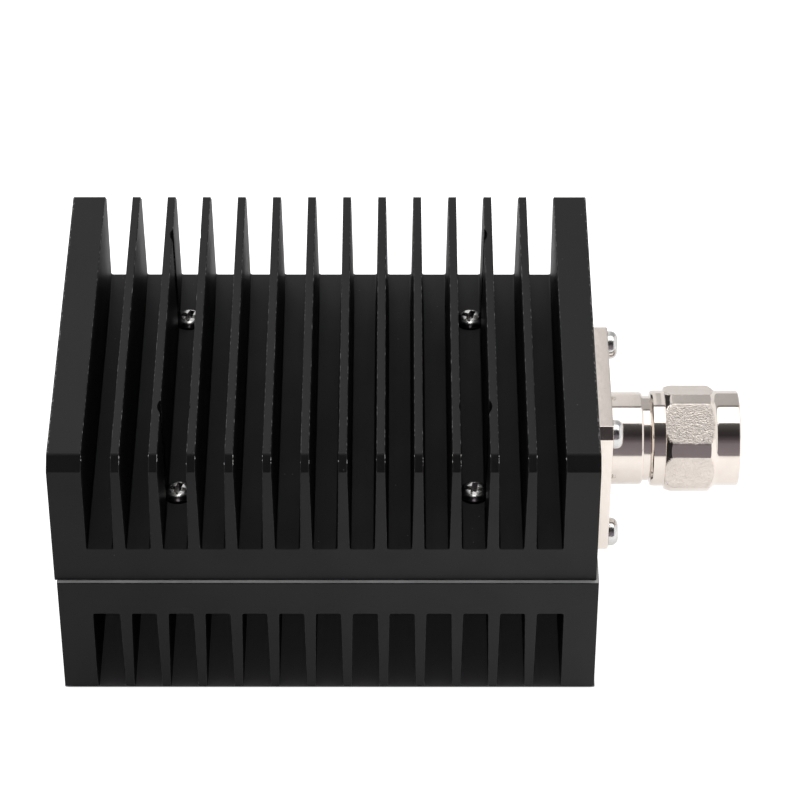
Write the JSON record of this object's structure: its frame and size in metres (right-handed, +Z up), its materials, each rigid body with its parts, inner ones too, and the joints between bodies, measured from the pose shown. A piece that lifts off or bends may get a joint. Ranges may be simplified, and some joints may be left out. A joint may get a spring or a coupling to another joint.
{
  "type": "coaxial power termination",
  "caption": "Coaxial power termination: finned black heat sinks clamped back to back round a load resistor, with a flanged plug and a hexagon coupling nut at one end.",
  "frame": {"origin": "middle of the bounding box's underside, on the plane that the lower fins stand on", "axes": "+X along the plug, away from the heat sinks; +Y along the fins, towards the back; +Z up, from the lower fins to the upper ones"},
  "size_m": [0.1286, 0.0808, 0.0586],
  "materials": {
    "black_anodised_aluminium": "extruded, cut, and anodised matt black",
    "nickel_plated_brass": "turned and bright nickel plated",
    "gold_plated_brass": "turned and gold plated",
    "zinc_plated_steel": "cold headed and bright zinc plated",
    "turned_ptfe": "turned, white",
    "phosphor_bronze": "drawn wire, bare",
    "silicone_rubber": "moulded, brick red",
    "nickel_plated_copper": "milled and nickel plated",
    "white_ceramic": "fired, unglazed",
    "solder": "flowed, satin",
    "graphite_pad": "pressed sheet"
  },
  "bodies": {
    "termination": {"lower_heatsink": "black_anodised_aluminium", "upper_heatsink": "black_anodised_aluminium", "clamp_screws": "zinc_plated_steel", "plug_body": "nickel_plated_brass", "flange_screws": "zinc_plated_steel", "outer_contact": "nickel_plated_brass", "centre_contact": "gold_plated_brass", "front_insulator": "turned_ptfe", "rear_insulator": "turned_ptfe", "retaining_ring": "phosphor_bronze", "gasket": "silicone_rubber", "resistor_flange": "nickel_plated_copper", "resistor_substrate": "white_ceramic", "resistor_cover": "white_ceramic", "resistor_tab": "nickel_plated_copper", "solder_joint": "solder", "thermal_pad": "graphite_pad", "resistor_washers": "zinc_plated_steel", "resistor_screws": "zinc_plated_steel"},
    "nut": {"coupling_nut": "nickel_plated_brass"}
  },
  "joints": [
    {"name": "nut_spin", "type": "hinge", "parent": "termination", "child": "nut", "pos_m": [0.055, 0, 0.0293], "axis": [1, 0, 0], "continuous": true}
  ]
}
